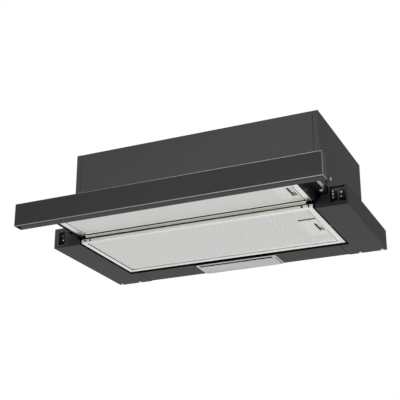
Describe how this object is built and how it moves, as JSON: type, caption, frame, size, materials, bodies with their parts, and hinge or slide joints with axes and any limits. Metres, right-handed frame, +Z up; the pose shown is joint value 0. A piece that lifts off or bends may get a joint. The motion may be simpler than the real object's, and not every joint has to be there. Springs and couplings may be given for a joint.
{
  "type": "pull-out range hood",
  "caption": "Slim pull-out range hood: shallow base with side wings, casing with blower and duct collar above, sliding front tray with bar, hinged grease filters, lamp and rocker switches.",
  "frame": {"origin": "centre of the four cabinet screw holes, on the seat plane that is the top of the low base", "axes": "+X to the right seen from the front, +Y to the back (the front bar faces -Y), +Z up"},
  "size_m": [0.598, 0.416, 0.2233],
  "materials": {
    "black_steel": "satin, fine-grained powder coat",
    "black_plastic": "fine matt",
    "galvanised": "zinc plated",
    "nylon": "white nylon",
    "filter_aluminium": "satin",
    "filter_mesh": "fine mesh",
    "latch_grey": "grey moulding",
    "lens": "translucent, ribbed",
    "bezel": "silver grey",
    "bulb_glass": "opal",
    "motor_metal": "grey",
    "white_plastic": "plain",
    "loom_grey": "sleeved"
  },
  "bodies": {
    "hood": {"casing_front_panel": "black_steel", "casing_left_side": "black_steel", "casing_right_side": "black_steel", "casing_top_panel": "black_steel", "casing_rear_panel": "black_steel", "side_screws": "galvanised", "left_wing": "black_steel", "right_wing": "black_steel", "left_front_plate": "black_steel", "right_front_plate": "black_steel", "left_rear_strip": "black_steel", "right_rear_strip": "black_steel", "base_rear_wall": "black_steel", "base_screws": "galvanised", "left_outer_rail": "galvanised", "right_outer_rail": "galvanised", "front_glides": "nylon", "lamp_bezel": "bezel", "lamp_housing": "galvanised", "lamp_holder": "nylon", "lamp_bulb": "bulb_glass", "left_switch_housing": "black_plastic", "right_switch_housing": "black_plastic", "scroll_left_half": "black_plastic", "scroll_right_half": "black_plastic", "motor": "motor_metal", "motor_spider": "galvanised", "duct_collar": "black_plastic", "capacitor": "white_plastic", "terminal_box": "white_plastic", "terminal_lid": "white_plastic", "cable_gland": "black_plastic", "wiring_loom": "loom_grey"},
    "tray": {"front_bar": "black_steel", "left_end_cap": "black_steel", "right_end_cap": "black_steel", "bar_backing": "black_steel", "tray_cover": "black_steel", "left_tray_wall": "black_steel", "right_tray_wall": "black_steel", "left_inner_rail": "galvanised", "right_inner_rail": "galvanised", "rear_glides": "nylon"},
    "main_filter": {"main_filter_frame": "filter_aluminium", "main_filter_mesh": "filter_mesh", "main_latch_plate": "filter_aluminium"},
    "main_catch": {"main_latch": "latch_grey"},
    "front_filter": {"front_filter_frame": "filter_aluminium", "front_filter_mesh": "filter_mesh", "front_latch_plate": "filter_aluminium"},
    "front_catch": {"front_latch": "latch_grey"},
    "lens": {"lamp_lens": "lens"},
    "left_key": {"left_rocker": "black_plastic"},
    "speed_key": {"speed_rocker": "black_plastic"},
    "light_key": {"light_rocker": "black_plastic"},
    "wheel": {"blower_wheel": "black_plastic", "motor_shaft": "galvanised"},
    "left_damper": {"left_flap": "black_plastic"},
    "right_damper": {"right_flap": "black_plastic"}
  },
  "joints": [
    {"name": "tray_slide", "type": "slide", "parent": "hood", "child": "tray", "axis": [0, -1, 0], "range_m": [-0.1095, 0]},
    {"name": "main_filter_hinge", "type": "hinge", "parent": "hood", "child": "main_filter", "pos_m": [-0.2365, -0.0395, -0.04], "axis": [0, 1, 0], "range_deg": [0, 75]},
    {"name": "main_latch_slide", "type": "slide", "parent": "main_filter", "child": "main_catch", "axis": [-1, 0, 0], "range_m": [0, 0.003], "stiffness_N_per_m": 400, "springref_m": -0.002},
    {"name": "front_filter_hinge", "type": "hinge", "parent": "tray", "child": "front_filter", "pos_m": [-0.2365, -0.196, -0.0262], "axis": [0, 1, 0], "range_deg": [0, 75]},
    {"name": "front_latch_slide", "type": "slide", "parent": "front_filter", "child": "front_catch", "axis": [-1, 0, 0], "range_m": [0, 0.003], "stiffness_N_per_m": 400, "springref_m": -0.002},
    {"name": "lamp_lens_hinge", "type": "hinge", "parent": "hood", "child": "lens", "pos_m": [-0.0025, 0.1355, -0.0416], "axis": [1, 0, 0], "range_deg": [0, 70]},
    {"name": "left_switch", "type": "hinge", "parent": "hood", "child": "left_key", "pos_m": [-0.282, -0.1288, -0.021], "axis": [1, 0, 0], "range_deg": [0, 14]},
    {"name": "speed_switch", "type": "hinge", "parent": "hood", "child": "speed_key", "pos_m": [0.27325, -0.1288, -0.019], "axis": [1, 0, 0], "range_deg": [-7, 7]},
    {"name": "light_switch", "type": "hinge", "parent": "hood", "child": "light_key", "pos_m": [0.2894, -0.1288, -0.019], "axis": [1, 0, 0], "range_deg": [0, 14]},
    {"name": "wheel_spin", "type": "hinge", "parent": "hood", "child": "wheel", "pos_m": [0, -0.03375, 0.086], "axis": [1, 0, 0], "continuous": true},
    {"name": "left_flap_hinge", "type": "hinge", "parent": "hood", "child": "left_damper", "pos_m": [-0.004, 0.02, 0.1575], "axis": [0, 1, 0], "range_deg": [0, 75]},
    {"name": "right_flap_hinge", "type": "hinge", "parent": "hood", "child": "right_damper", "pos_m": [0.004, 0.02, 0.1575], "axis": [0, -1, 0], "range_deg": [0, 75]}
  ]
}
